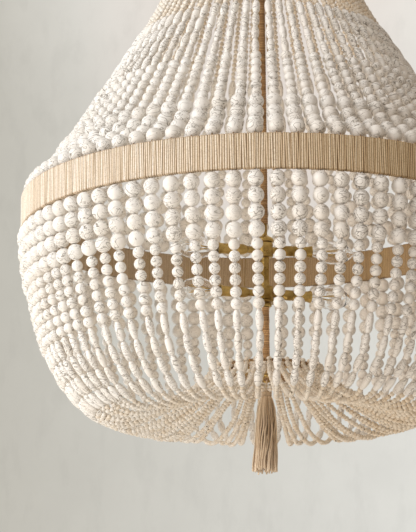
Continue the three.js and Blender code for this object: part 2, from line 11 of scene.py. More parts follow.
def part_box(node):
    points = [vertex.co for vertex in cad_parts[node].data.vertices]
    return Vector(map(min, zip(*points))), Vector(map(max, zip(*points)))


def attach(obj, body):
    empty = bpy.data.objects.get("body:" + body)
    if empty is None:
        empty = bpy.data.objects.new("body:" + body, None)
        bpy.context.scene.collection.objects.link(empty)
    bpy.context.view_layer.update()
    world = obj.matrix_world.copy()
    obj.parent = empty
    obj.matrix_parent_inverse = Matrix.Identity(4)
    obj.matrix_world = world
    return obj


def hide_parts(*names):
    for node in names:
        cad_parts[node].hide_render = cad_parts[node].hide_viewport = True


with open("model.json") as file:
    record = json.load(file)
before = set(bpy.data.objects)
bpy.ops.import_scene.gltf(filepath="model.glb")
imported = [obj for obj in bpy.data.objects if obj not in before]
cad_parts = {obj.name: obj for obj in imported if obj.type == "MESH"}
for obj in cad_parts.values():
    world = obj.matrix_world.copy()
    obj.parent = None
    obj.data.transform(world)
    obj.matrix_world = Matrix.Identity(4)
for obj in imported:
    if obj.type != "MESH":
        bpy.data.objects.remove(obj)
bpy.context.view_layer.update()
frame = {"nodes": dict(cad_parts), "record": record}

MM = 0.001
TURN = 2 * math.pi
QUARTER = math.pi / 2
UP = (0.0, 0.0, 1.0)
TINY = 1e-6
IMAGE_WIDTH, IMAGE_HEIGHT = 416, 532

BODY_OF = {node: body for body, nodes in frame["record"]["behaviour"]["bodies"].items() for node in nodes}


def extent(node):
    """The node's lowest and highest corner, in millimetres."""
    low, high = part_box(node)
    return Vector(low) / MM, Vector(high) / MM


def span(node):
    """The node's lowest and highest height, in millimetres."""
    low, high = extent(node)
    return low.z, high.z


HOOP_LOW, HOOP_HIGH = span("hoop_jute_wrap")
HOOP_Z = (HOOP_LOW + HOOP_HIGH) / 2
HOOP_RADIUS = extent("hoop_jute_wrap")[1].x
CROWN_Z = sum(span("crown_ring")) / 2
BASE_Z = sum(span("bottom_ring")) / 2
TASSEL_LOW, TASSEL_HIGH = span("tassel")
CROWN_RADIUS, BASE_RADIUS = 88, 60
BINDING_WIDTH, BINDING_HEIGHT = 7, 10
STEM_RADIUS, STEM_BORE, STEM_WRAP = 3.5, 2.2, 5.0
BORE = STEM_RADIUS + 0.2


def show(name, data):
    """A new object with this data, in the scene."""
    shown = bpy.data.objects.new(name, data)
    bpy.context.scene.collection.objects.link(shown)
    return shown


# ---------------------------------------------------------------- camera

FOCAL_PIXELS, SENSOR = 2183, 36
CAMERA_DISTANCE = 2880
CAMERA_DROP, CAMERA_ROLL = math.radians(14.6), math.radians(-0.8)
CLIP = 0.05, 200
HOOP_PIXEL = 264.3, 218.3


def make_camera():
    """Looks up at the hoop's middle from below, and aside enough to put it on its pixel."""
    data = bpy.data.cameras.new("camera")
    camera = show("camera", data)
    bpy.context.scene.camera = camera
    data.sensor_fit = "AUTO"
    data.sensor_width = SENSOR
    data.lens = FOCAL_PIXELS * SENSOR / IMAGE_HEIGHT
    data.clip_start, data.clip_end = CLIP
    back = Vector((0, -math.cos(CAMERA_DROP), -math.sin(CAMERA_DROP)))
    camera.location = Vector((0, 0, HOOP_Z)) * MM + back * CAMERA_DISTANCE * MM
    across, above = HOOP_PIXEL[0] - IMAGE_WIDTH / 2, IMAGE_HEIGHT / 2 - HOOP_PIXEL[1]
    seen = Vector((across, above, -FOCAL_PIXELS)).normalized()
    aside = seen.rotation_difference(Vector((0, 0, -1)))
    camera.rotation_mode = "QUATERNION"
    camera.rotation_quaternion = (-back).to_track_quat("-Z", "Y") @ Quaternion(UP, CAMERA_ROLL) @ aside


make_camera()

# ---------------------------------------------------------------- shapes

# A shape is its corners, its faces' corners in one row, the faces' sizes and, where they differ, its tones.

MOST_OF_EDGE = 0.45


def unit(vectors):
    return vectors / np.linalg.norm(vectors, axis=-1, keepdims=True)


def shaped(corners, faces):
    """The shape with these groups of faces, all turned over if they point into it."""
    volume = 0.0
    for group in faces:
        for i in range(1, group.shape[1] - 1):
            a, b, c = (corners[group[:, j]] for j in (0, i, i + 1))
            volume += np.sum(a * np.cross(b, c))
    if volume <= 0:
        faces = [group[:, ::-1] for group in faces]
    sizes = np.concatenate([np.full(len(group), group.shape[1]) for group in faces])
    return corners, np.concatenate([group.ravel() for group in faces]), sizes


def joined(rings, closed):
    """A skin over rings of points or single points. A closed one joins its last ring to its first."""
    ends = np.cumsum([len(points) for points in rings])
    rows = np.split(np.arange(ends[-1]), ends[:-1])
    faces = []
    for low, high in zip(rows, rows[1:] + rows[:1] * closed):
        count = max(len(low), len(high))
        j = np.arange(count)
        k = (j + 1) % count
        corners = [low[j % len(low)], low[k % len(low)], high[k % len(high)], high[j % len(high)]]
        if count > 1:
            faces.append(np.stack(corners[len(low) == 1:4 - (len(high) == 1)], 1))
    if not closed:
        faces += [row[None] for row in (rows[0][::-1], rows[-1]) if len(row) > 1]
    return shaped(np.concatenate(rings), faces)


def skin(rings, closed=True):
    """A skin over an array of rings of points along a path. An open one gets a cap at each end."""
    count, around, _ = rings.shape
    here = np.arange(count if closed else count - 1)[:, None] * around
    there = (here + around) % (count * around)
    j = np.arange(around)
    k = (j + 1) % around
    faces = [np.stack([here + j, there + j, there + k, here + k], -1).reshape(-1, 4)]
    if not closed:
        faces += [j[None], j[None, ::-1] + there[-1]]
    return shaped(rings.reshape(-1, 3), faces)


def ring(reach, height, angles):
    """Points round Z. Their reach and height may change on the way."""
    return np.stack(np.broadcast_arrays(reach * np.cos(angles), reach * np.sin(angles), height), -1)


def turned(profile, segments, closed=False):
    """Rows of (radius, height) turned about Z. A closed profile gives a ring."""
    angles = TURN * np.arange(segments) / segments
    rings = [ring(radius, height, angles if abs(radius) > TINY else angles[:1]) for radius, height in profile]
    return joined(rings, closed)


def rounded(profile, edge=0.5, steps=3, closed=False):
    """The profile with its corners rounded off."""
    points = [Vector(p) for p in profile]
    out = []
    for i, corner in enumerate(points):
        if not closed and i in (0, len(points) - 1):
            out.append(tuple(corner))
            continue
        sides = (other - corner for other in (points[i - 1], points[(i + 1) % len(points)]))
        start, end = (corner + side.normalized() * min(edge, side.length * MOST_OF_EDGE) for side in sides)
        for s in range(steps + 1):
            t = s / steps
            out.append(tuple(start * (1 - t) ** 2 + corner * 2 * t * (1 - t) + end * t ** 2))
    return out


def spun(profile, edge, segments, steps=3):
    """A ring turned from a closed profile with rounded corners."""
    return turned(rounded(profile, edge, steps, closed=True), segments, closed=True)


def ring_of(outer, inner, low, high, edge=0.4, segments=40):
    return spun([(inner, low), (outer, low), (outer, high), (inner, high)], edge, segments, 2)


def sweep(points, section, across, closed=False, sizes=1.0):
    """A closed section carried along a path; across is the direction that the path's plane faces."""
    points = np.asarray(points, float)
    ahead = unit(np.roll(points, -1, 0) - np.roll(points, 1, 0) if closed else np.gradient(points, axis=0))
    side = unit(np.cross(ahead, across))
    up = np.cross(side, ahead)
    scaled = np.asarray(section, float) * np.broadcast_to(sizes, len(points))[:, None, None]
    return skin(points[:, None] + scaled[..., :1] * side[:, None] + scaled[..., 1:] * up[:, None], closed)


def circle(radius, sides):
    return [(radius * math.cos(TURN * j / sides), radius * math.sin(TURN * j / sides)) for j in range(sides)]


def square_bar(edge, half=2):
    """The section of a 4 mm bar."""
    return rounded([(half, -half), (half, half), (-half, half), (-half, -half)], edge, 2, closed=True)


def wire_loop(centre_z, inner_width, straight, wire, in_x, sides, steps=14):
    """A link or ring of wire that stands on edge, in the plane of X or of Y."""
    bend = (inner_width + wire) / 2
    points = []
    for half in (0, 1):
        for i in range(steps + 1 if straight > 0 else steps):
            angle = math.pi * (half + i / steps)
            out = bend * math.cos(angle)
            height = bend * math.sin(angle) + (0.5 - half) * straight + centre_z
            points.append((out, 0, height) if in_x else (0, out, height))
    return sweep(points, circle(wire / 2, sides), (0, 1, 0) if in_x else (-1, 0, 0), closed=True)


def laid(shape, turn, height):
    """The shape, which was built up along Z, laid along +X, turned about Z and raised."""
    corners, *faces = shape
    x, y, z = corners[:, 2], corners[:, 1], -corners[:, 0]
    c, s = math.cos(turn), math.sin(turn)
    return np.stack([x * c - y * s, x * s + y * c, z + height], 1), *faces


# ---------------------------------------------------------------- meshes


class Batch:
    """Collects shapes into one mesh, each with its own tone."""

    def __init__(self, shapes=()):
        self.parts, self.count = [], 0
        for shape in shapes:
            self.add(*shape)

    def add(self, corners, loops, sizes, tone=0.0):
        self.parts.append((corners, loops + self.count, sizes, np.broadcast_to(tone, len(corners))))
        self.count += len(corners)

    def piece(self, name, material, sharp):
        corners, loops, sizes, tones = (np.concatenate(part) for part in zip(*self.parts))
        mesh = bpy.data.meshes.new(name)
        mesh.vertices.add(len(corners))
        mesh.vertices.foreach_set("co", (corners * MM).astype(np.float32).ravel())
        mesh.loops.add(len(loops))
        mesh.loops.foreach_set("vertex_index", loops.astype(np.int32))
        mesh.polygons.add(len(sizes))
        starts = np.concatenate([[0], np.cumsum(sizes)[:-1]])
        mesh.polygons.foreach_set("loop_start", starts.astype(np.int32))
        mesh.update(calc_edges=True)
        mesh.validate()
        mesh.attributes.new("tone", "FLOAT", "POINT").data.foreach_set("value", tones.astype(np.float32))
        mesh.shade_smooth()
        if sharp:
            mesh.set_sharp_from_angle(angle=math.radians(sharp))
        mesh.materials.append(material)
        return show(name, mesh)


# ---------------------------------------------------------------- finishes

WHITE = (1, 1, 1, 1)
# How far each side of the middle the painted shade towards +X comes in, in metres
SHADE_REACH = 0.15


class Shader:
    """A material's or the world's nodes, added and linked in one call each."""

    def __init__(self, owner, place="Object"):
        self.owner = owner
        owner.use_nodes = True
        self.tree = owner.node_tree
        self.place = self.add("TexCoord").outputs[place]
        self.x, self.y, self.z = self.add("SeparateXYZ", {0: self.place}).outputs

    def add(self, kind, inputs=None, **settings):
        node = self.tree.nodes.new("ShaderNode" + kind)
        for name, value in settings.items():
            setattr(node, name, value)
        for name, value in (inputs or {}).items():
            self.put(node.inputs[name], value)
        return node

    def put(self, socket, value):
        if isinstance(value, bpy.types.NodeSocket):
            self.tree.links.new(value, socket)
        else:
            socket.default_value = value

    def set(self, **values):
        for name, value in values.items():
            self.put(self.tree.nodes["Principled BSDF"].inputs[name.replace("_", " ")], value)

    def tone(self):
        return self.add("Attribute", attribute_name="tone").outputs["Fac"]

    def noise(self, scale, detail=2.0, roughness=0.5, place=None, **more):
        inputs = {"Vector": place or self.place, "Scale": scale, "Detail": detail, "Roughness": roughness, **more}
        return self.add("TexNoise", inputs).outputs["Fac"]

    def stretch(self, scale):
        return self.add("Mapping", {"Vector": self.place, "Scale": scale}).outputs["Vector"]

    def band(self, value, low, high, to_low=0.0, to_high=1.0):
        """The value as a share of the way from low to high, as a number from to_low to to_high."""
        inputs = {"Value": value, "From Min": low, "From Max": high, "To Min": to_low, "To Max": to_high}
        return self.add("MapRange", inputs).outputs["Result"]

    def math(self, operation, a, b=0.0):
        return self.add("Math", {0: a, 1: b}, operation=operation).outputs[0]

    def times(self, a, b):
        return self.math("MULTIPLY", a, b)

    def mix(self, factor, a, b, blend="MIX"):
        node = self.add("Mix", {"Factor": factor}, data_type="RGBA", blend_type=blend)
        for socket, value in zip([s for s in node.inputs if s.type == "RGBA"], (a, b)):
            self.put(socket, value)
        return next(s for s in node.outputs if s.type == "RGBA")

    def bump(self, height, distance, strength):
        return self.add("Bump", {"Height": height, "Distance": distance, "Strength": strength}).outputs["Normal"]

    def shaded_towards_x(self, colour, shade_colour):
        """The colour, with a painted shade laid over it more and more towards +X."""
        across = self.band(self.x, -SHADE_REACH, SHADE_REACH)
        return self.mix(1.0, colour, self.mix(across, WHITE, shade_colour), "MULTIPLY")


def shade(red, green, blue):
    """A display colour as the shader wants it."""
    linear = (c / 12.92 if c <= 0.04045 else ((c + 0.055) / 1.055) ** 2.4 for c in (red, green, blue))
    return *linear, 1.0


# A finish is a material with the record's slot that it stands for. Some finishes have colours of their own.
VEIN, PIT = shade(0.40, 0.36, 0.295), shade(0.35, 0.29, 0.15)
YARN_DARK, YARN_LIGHT = shade(0.66, 0.555, 0.435), shade(0.96, 0.875, 0.76)
# The core's colour is painted shade deep inside the tassel
CORE_SHADE, YARN_CUT, YARN_GAP = shade(0.36, 0.27, 0.18), shade(0.98, 0.90, 0.80), shade(0.47, 0.37, 0.27)


def stone_finish(name, pale, warm, painted_shade, vein_amount, pit_size, pit_level, gloss):
    """Howlite: fine dark veins that flow round the beads and a few olive pits; each bead has its own tone. A
    painted shade darkens it towards +X.
    """
    s = Shader(bpy.data.materials.new(name))
    level = s.stretch((1, 1, 1.7))

    def veins_of(size, lines, width, shift, patches):
        """Lines where a flowing noise comes round to the same value, in patches."""
        wave = s.math("FRACT", s.times(s.noise(size, 2, 0.55, level, Distortion=shift), lines))
        line = s.band(s.math("ABSOLUTE", s.math("SUBTRACT", wave, 0.5)), 0.0, width, 1.0, 0.0)
        return s.times(line, patches)

    coarse = veins_of(34, 10, 0.115, 0.35, s.band(s.noise(30), 0.38, 0.47))
    fine = veins_of(80, 6, 0.12, 0.7, s.band(s.noise(55), 0.43, 0.53, 0.0, 0.85))
    strength = s.band(s.noise(11, 1), 0.35, 0.65, 0.6 * vein_amount, vein_amount)
    fading = s.times(strength, s.band(s.y, 0.0, 0.2, 1.0, 0.6))
    veins = s.times(s.math("MAXIMUM", coarse, fine), fading)
    pits = s.band(s.noise(pit_size, 3, 0.6), pit_level, pit_level + 0.03)
    clouded = s.mix(s.times(s.band(s.noise(70, 3), 0.35, 0.7), 0.45), pale, warm)
    body = s.mix(s.band(s.tone(), -1, 0.2), warm, clouded)
    pitted = s.mix(s.times(pits, 0.9), s.mix(veins, body, VEIN), PIT)
    marks = s.math("MAXIMUM", veins, pits)
    s.set(Base_Color=s.shaded_towards_x(pitted, painted_shade), Normal=s.bump(s.times(marks, -1.0), 0.0003, 0.6))
    s.set(Roughness=s.band(marks, 0, 1, gloss, 0.66), Specular_IOR_Level=0.35)
    return s.owner, "bead_stone"


def jute_finish(name, colours, radius, on_ring=True, painted_shade=WHITE):
    """Jute yarn; its fibres run up and down on a ring and round the stem on it. Where one is given, a painted
    shade darkens it towards +X.
    """
    light, dark, gap = colours
    s = Shader(bpy.data.materials.new(name))
    run = s.times(s.math("ARCTAN2", s.y, s.x), radius * MM)
    fibre_place = {0: run, 1: s.times(s.z, 0.12)} if on_ring else {0: s.times(run, 0.1), 1: s.z}
    fibres = s.noise(2400, 3, 0.65, s.add("CombineXYZ", fibre_place).outputs[0])
    tone = s.tone()
    base = s.mix(s.band(tone, -0.1, 0.8), dark, light)
    fibred = s.mix(s.band(fibres, 0.42, 0.75, 0.0, 0.5), base, dark)
    patched = s.mix(s.band(s.noise(140, 3, 0.6), 0.5, 0.75, 0.0, 0.45), fibred, dark)
    fuzzy = s.mix(s.band(s.noise(650, 3, 0.7), 0.48, 0.7, 0.0, 0.5), patched, gap)
    # Low tones turn it to the gap colour: painted shade in the grooves between turns, on inner faces and at the
    # ends
    wound = s.mix(s.band(tone, -0.15, -0.85), fuzzy, gap)
    s.set(Base_Color=s.shaded_towards_x(wound, painted_shade), Normal=s.bump(fibres, 0.0005, 0.8))
    s.set(Roughness=0.9, Specular_IOR_Level=0.2, Sheen_Weight=0.2, Sheen_Roughness=0.6)
    return s.owner, "jute"


def metal_finish(name, slot, colour, dark, smoothest, roughest, metallic=1.0):
    """Metal with a patina in patches and small specks."""
    s = Shader(bpy.data.materials.new(name))
    worn = s.mix(s.band(s.noise(45, 4, 0.6), 0.38, 0.68), colour, dark)
    specked = s.mix(s.band(s.noise(420, 3, 0.6), 0.60, 0.72, 0.0, 0.6), worn, dark)
    s.set(Base_Color=specked, Metallic=metallic, Normal=s.bump(s.noise(900, 3, 0.6), 0.00012, 0.5))
    s.set(Roughness=s.band(s.noise(160, 4, 0.65), 0.3, 0.7, smoothest, roughest))
    return s.owner, slot


def glass_finish():
    s = Shader(bpy.data.materials.new("clear_glass"))
    s.set(Base_Color=WHITE, Roughness=s.band(s.noise(70), 0.3, 0.7, 0.0, 0.03))
    s.set(Transmission_Weight=1.0, IOR=1.45)
    return s.owner, "bulb_glass"


def yarn_finish():
    """Cotton yarn, each with its own tone, paler towards its cut end."""
    s = Shader(bpy.data.materials.new("tassel_yarn_fibre"))
    tone, tip = s.tone(), TASSEL_LOW * MM
    fibres = s.noise(1900, 3, 0.65, s.stretch((1, 1, 0.12)))
    # Tones below -1 take the core's painted shade; lower tones give darker yarn, partly painted shade in grooves
    # and inner layers
    base = s.mix(s.band(tone, -1.2, -2), s.mix(s.band(tone, -1, 1), YARN_DARK, YARN_LIGHT), CORE_SHADE)
    tipped = s.mix(s.band(s.z, tip + 0.04, tip, 0.0, 0.6), base, YARN_CUT)
    fibred = s.mix(s.band(fibres, 0.4, 0.8, 0.0, 0.5), tipped, YARN_GAP)
    s.set(Base_Color=fibred, Normal=s.bump(fibres, 0.0004, 0.8))
    s.set(Roughness=0.88, Specular_IOR_Level=0.2, Sheen_Weight=0.3, Sheen_Roughness=0.5)
    return s.owner, "tassel_yarn"


def mottled(name, scale, detail, roughness, colour, other, gloss):
    """A material of two colours in soft patches."""
    s = Shader(bpy.data.materials.new(name))
    s.set(Base_Color=s.mix(s.band(s.noise(scale, detail, roughness), 0.3, 0.7), colour, other), Roughness=gloss)
    return s.owner


# Each jute's light, dark and gap colours; the gap colour is painted shade in grooves and on inner faces, and also
# darkens fine fuzz
JUTE = shade(0.99, 0.972, 0.94), shade(0.88, 0.80, 0.695), shade(0.54, 0.45, 0.34)
BROWN_JUTE = shade(0.78, 0.65, 0.48), shade(0.61, 0.48, 0.33), shade(0.30, 0.21, 0.12)
DARK_JUTE = shade(0.78, 0.63, 0.445), shade(0.60, 0.46, 0.305), shade(0.37, 0.27, 0.165)
# The stones' third colour and the hoop jute's last one are painted shade, laid over them towards +X
STONE = stone_finish("howlite", shade(0.97, 0.962, 0.948), shade(0.95, 0.932, 0.905), (0.90, 0.875, 0.855, 1),
                     vein_amount=0.95, pit_size=200, pit_level=0.70, gloss=0.46)
SEED = stone_finish("howlite_seed", shade(0.97, 0.955, 0.93), shade(0.93, 0.885, 0.82), (0.87, 0.80, 0.71, 1),
                    vein_amount=0.5, pit_size=260, pit_level=0.655, gloss=0.36)
HOOP_JUTE = jute_finish("jute_hoop", JUTE, 320, painted_shade=(0.85, 0.74, 0.56, 1))
CROWN_JUTE = jute_finish("jute_crown", JUTE, CROWN_RADIUS)
BASE_JUTE = jute_finish("jute_base", BROWN_JUTE, BASE_RADIUS)
STEM_JUTE = jute_finish("jute_stem", DARK_JUTE, STEM_WRAP, on_ring=False)
BRASS = metal_finish("aged_brass_metal", "aged_brass", shade(0.80, 0.68, 0.42), shade(0.50, 0.39, 0.19),
                     0.24, 0.42)
STEEL = metal_finish("painted_steel_coat", "painted_steel", shade(0.70, 0.59, 0.41), shade(0.58, 0.47, 0.31),
                     0.42, 0.6, metallic=0.55)
CAP_METAL = metal_finish("bulb_cap_metal", "bulb_metal", shade(0.76, 0.68, 0.48), shade(0.62, 0.54, 0.36),
                         0.22, 0.4)
GLASS = glass_finish()
YARN = yarn_finish()
PHOSPHOR = (mottled("filament_phosphor", 900, 2, 0.5, shade(0.93, 0.80, 0.50), shade(0.84, 0.68, 0.38), 0.6),
            "bulb_metal")

# ---------------------------------------------------------------- pieces

# From how many degrees on an edge stays sharp
METAL_EDGE, NUT_EDGE, YARN_EDGE = 35, 25, 80


def solid(name, node, shapes, finish=BRASS, sharp=METAL_EDGE):
    """A piece of the shapes in that finish. It stands for its node, or without one rides on the fixture."""
    material, slot = finish
    batch = shapes if isinstance(shapes, Batch) else Batch(shapes)
    piece = batch.piece(name, material, sharp)
    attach(piece, BODY_OF[node] if node else "fixture")
    if node:
        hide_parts(node)


# ---------------------------------------------------------------- canopy and chain

LINK_WIRE, LINK_LENGTH, LINK_WIDTH, LOOP_INNER = 5, 32, 14, 8
PLATE_THICKNESS, SCREW_HOLE, SCREW_REACH = 2.5, 2.8, 38


def plate_with_holes(radius, top, edge=0.3):
    """A round plate with two screw holes, from a filled flat curve."""
    curve = bpy.data.curves.new("plate_outline", "CURVE")
    curve.dimensions = "2D"
    curve.fill_mode = "BOTH"
    curve.extrude = PLATE_THICKNESS / 2 - edge
    curve.bevel_depth = edge
    curve.bevel_resolution = 1
    hole = SCREW_HOLE + edge
    for centre, size, count in ((0, radius - edge, 72), (SCREW_REACH, hole, 24), (-SCREW_REACH, hole, 24)):
        spline = curve.splines.new("POLY")
        spline.points.add(count - 1)
        for point, (x, y) in zip(spline.points, circle(size, count)):
            point.co = (centre + x, y, 0, 1)
        spline.use_cyclic_u = True
    holder = show("plate_outline", curve)
    bpy.context.view_layer.update()
    mesh = bpy.data.meshes.new_from_object(holder.evaluated_get(bpy.context.evaluated_depsgraph_get()))
    work = bmesh.new()
    work.from_mesh(mesh)
    bmesh.ops.remove_doubles(work, verts=work.verts, dist=1e-4)
    corners = np.array([v.co for v in work.verts], float)
    faces = [np.array([[v.index for v in f.verts]]) for f in work.faces]
    work.free()
    bpy.data.objects.remove(holder)
    bpy.data.curves.remove(curve)
    bpy.data.meshes.remove(mesh)
    corners[:, 2] += top - PLATE_THICKNESS / 2
    return shaped(corners, faces)


def threaded(radius, low, high, pitch=1.5, depth=0.35):
    """A rod with rings of thread."""
    profile = [(0, low), (radius - 1, low)]
    height = low + 1
    while height < high - pitch:
        profile += [(radius - depth, height), (radius, height + pitch / 2)]
        height += pitch
    return turned(profile + [(radius - depth, high), (0, high)], 28)


def eye(centre):
    """A brass loop that a link hangs in, or that hangs in a link."""
    return wire_loop(centre, 2 * LOOP_INNER, 0, LINK_WIRE, True, 16)


low, high = span("ceiling_plate")
plate = plate_with_holes(extent("ceiling_plate")[1].x, high)
solid("ceiling_bracket", "ceiling_plate", [plate, threaded(4.8, low, high - 2)], STEEL)

low, high = span("canopy")
rim = extent("canopy")[1].x
solid("canopy_cup", "canopy", [spun([
    (6.9, low), (45, low), (52, low + 2.4), (rim - 3.5, low + 12), (rim - 0.6, low + 19), (rim, high - 2.4),
    (rim, high), (rim - 1.6, high), (rim - 1.8, high - 4), (rim - 5.2, low + 13), (51.5, low + 4.2),
    (45, low + 1.6), (6.9, low + 1.6)], 4.0, 96, 4)])

low, high = span("canopy_loop")
centre = low + LINK_WIRE + LOOP_INNER
neck = centre + LOOP_INNER
solid("canopy_eye", "canopy_loop", [turned(rounded([
    (0, neck + 0.4), (5.0, neck + 0.4), (6.5, neck + 2.5), (6.5, high), (5.2, high), (5.2, high - 15),
    (0, high - 15.4)]), 40), eye(centre)])

low, high = span("canopy_collar")
solid("canopy_ring_nut", "canopy_collar", [spun([
    (6.8, low), (10.2, low), (12.4, low + 1.6), (13, high - 1), (13, high), (6.8, high)], 0.7, 48)])

for n in (1, 2, 3):
    node = f"chain_link_{n}"
    link = wire_loop(sum(span(node)) / 2, LINK_WIDTH, LINK_LENGTH - LINK_WIDTH, LINK_WIRE, n % 2 == 0, 16)
    solid(f"link_{n}_wire", node, [link], sharp=None)

low, high = span("top_loop")
centre = high - LINK_WIRE - LOOP_INNER
neck = centre - LOOP_INNER
solid("fixture_eye", "top_loop", [turned(rounded([
    (0, low), (7.5, low), (7.5, low + 3), (7.1, low + 3.4), (7.1, low + 4), (7.5, low + 4.4), (7.5, neck - 5),
    (6.2, neck - 2), (3.6, neck - 0.4), (0, neck - 0.4)], 0.4), 44), eye(centre)])

# ---------------------------------------------------------------- stem, nuts and rings

# Each turn of yarn, as places along it and what share of its groove's depth it has there
GROOVE = (0.0, 1.0), (0.22, 0.3), (0.5, 0.0), (0.78, 0.3)
# How dark each groove's bottom is painted, as shade, and how far a turn may lean
GROOVE_SHADE, BOUND_LEAN = 0.6, 0.25


def wound_column(low, high, outer, inner, pitch, rng, segments=20, depth=0.6):
    """Turns of yarn round a post, each a little different; their tones paint shade into the grooves between turns
    and onto the ends.
    """
    turns = max(2, round((high - low) / pitch))
    pitch = (high - low) / turns
    rows = [(inner, low, 0, 0, -1)]
    for t in range(turns):
        full = outer - rng.uniform(0, 0.25)
        lean = rng.uniform(-BOUND_LEAN, BOUND_LEAN)
        wander = rng.uniform(0, TURN)
        light = rng.uniform(-0.3, 1)
        for part, share in GROOVE:
            tone = light - (GROOVE_SHADE + light) * share
            rows.append((full - depth * share, low + (t + part) * pitch, lean, wander, tone))
    rows += [(outer - depth, high, 0, 0, -1), (inner, high, 0, 0, -1)]
    angles = TURN * np.arange(segments) / segments
    rings = [ring(radius, height + (i > 1) * lean * np.cos(angles + wander), angles)
             for i, (radius, height, lean, wander, _) in enumerate(rows)]
    return *joined(rings, closed=True), np.repeat([tone for *_, tone in rows], segments)


def hex_nut(low, high, radius, bore, segments=48, chamfer=0.9):
    """A nut whose corners are rounded off top and bottom."""
    angles = TURN * np.arange(segments) / segments
    flat = radius * math.cos(TURN / 12)
    hexagon = flat / np.cos(angles % (TURN / 6) - TURN / 12)
    end = flat * 0.985
    rows = [(end, low), (hexagon, low + chamfer), (hexagon, high - chamfer), (end, high),
            (bore, high), (bore, low)]
    return joined([ring(reach, height, angles) for reach, height in rows], closed=True)


def spider(radius, centre, name, node):
    """The flat ring inside the binding, its four arms and the hub."""
    shapes = [ring_of(radius + 1.5, radius - 1.5, centre - 3, centre + 3, segments=96), spun([
        (BORE, centre - 5), (7.6, centre - 5), (9, centre - 3.2), (9, centre + 3.2), (7.6, centre + 5),
        (BORE, centre + 5)], 0.6, 44)]
    for i in range(4):
        angle = TURN * (i + 0.5) / 4
        shapes.append(sweep(ring(np.linspace(8, radius - 1, 6), centre, angle), square_bar(0.7), UP))
    solid(name, node, shapes, STEEL)


def wound_ring(radius, width, height, centre, pitch, rng, ridge, tall=6, deep_share=0.12):
    """A ring of flat bar wound with yarn: ridges run across it, with odd turns apart from their neighbours. Its
    tones paint shade into the grooves, on the flanks and on the inner face.
    """
    turns = round(TURN * radius / pitch)
    widths = np.array([1 + rng.uniform(-0.14, 0.14) for _ in range(turns)])
    edges = np.concatenate([[0], np.cumsum(widths)]) * TURN / widths.sum()
    corner = min(width, height) / 2 * 0.55
    outline = []
    for quarter in range(4):
        out, along, count = (height / 2, width / 2, 3) if quarter % 2 else (width / 2, height / 2, tall)
        side = [(out, z) for z in np.linspace(corner - along, along - corner, count)]
        side += [(out - corner + corner * math.cos(a), along - corner + corner * math.sin(a))
                 for a in (0.5, 1.05)]
        for _ in range(quarter):
            side = [(-y, x) for x, y in side]
        outline += side
    outline = np.array(outline)
    ahead = np.roll(outline, -1, 0) - np.roll(outline, 1, 0)
    inward = unit(np.stack([-ahead[:, 1], ahead[:, 0]], 1))
    inside = outline[:, 0] < 0
    rim = np.abs(outline[:, 1]) > height / 2 - 0.6 * corner
    rings, tones = [], []
    for t in range(turns):
        lean = rng.uniform(-0.6, 0.6) * pitch / 2
        proud = rng.uniform(0, 0.3) * ridge
        gap = ridge * (1.7 if rng.random() < deep_share else rng.uniform(0.7, 1.15))
        light = rng.uniform(0.35, 1.2)
        groove, top = (gap, 0.1 - 1.1 * gap / ridge), (proud, light)
        flank = 0.35 * ridge + proud, light - 0.95
        for part, (depth, tone) in ((0.0, groove), (0.2, flank), (0.5, top), (0.8, flank)):
            # Painted shade: grooves and flanks between turns go darker and the inner face darker still; the top
            # and bottom edges are darker too
            tones.append(np.where(inside, 0.13 * tone - 0.5, np.where(rim, min(tone, 0.0) - 0.2, tone)))
            sway = lean * (0.25 if part == 0 else 1.0) / radius
            angles = edges[t] + part * (edges[t + 1] - edges[t]) + sway * outline[:, 1] / (height / 2)
            places = outline + inward * depth
            rings.append(ring(radius + places[:, 0], centre + places[:, 1], angles))
    return *skin(np.array(rings)), np.concatenate(tones)


solid("stem_tube", "stem_pipe", [ring_of(STEM_RADIUS, STEM_BORE, *span("stem_pipe"))])

stem_rng = random.Random(11)
for part in ("top", "middle", "bottom"):
    node = f"stem_wrap_{part}"
    column = wound_column(*span(node), STEM_WRAP, STEM_RADIUS + 0.1, 2.4, stem_rng)
    solid(f"stem_winding_{part}", node, [column], STEM_JUTE, YARN_EDGE)

for node in ("crown_nut", "cluster_nut"):
    solid(f"{node}_hex", node, [hex_nut(*span(node), 8, BORE)], sharp=NUT_EDGE)

spider(CROWN_RADIUS, CROWN_Z, "crown_frame", "crown_ring")
spider(BASE_RADIUS, BASE_Z, "base_frame", "bottom_ring")

wrap_rng = random.Random(23)
hoop = wound_ring(HOOP_RADIUS - 4, 8, HOOP_HIGH - HOOP_LOW, HOOP_Z, 2.8, wrap_rng, 0.95, deep_share=0.07)
solid("hoop_winding", "hoop_jute_wrap", [hoop], HOOP_JUTE, None)
for name, radius, centre, finish in (("crown_binding", CROWN_RADIUS, CROWN_Z, CROWN_JUTE),
                                     ("base_binding", BASE_RADIUS, BASE_Z, BASE_JUTE)):
    binding = wound_ring(radius, BINDING_WIDTH, BINDING_HEIGHT, centre, 2.4, wrap_rng, 0.5, tall=4)
    solid(name, None, [binding], finish, None)

# The hoop's flat bar keeps its own solid inside the winding
bar = frame["nodes"]["main_hoop"].data
bar.materials.clear()
bar.materials.append(STEEL[0])

# ---------------------------------------------------------------- strings of beads

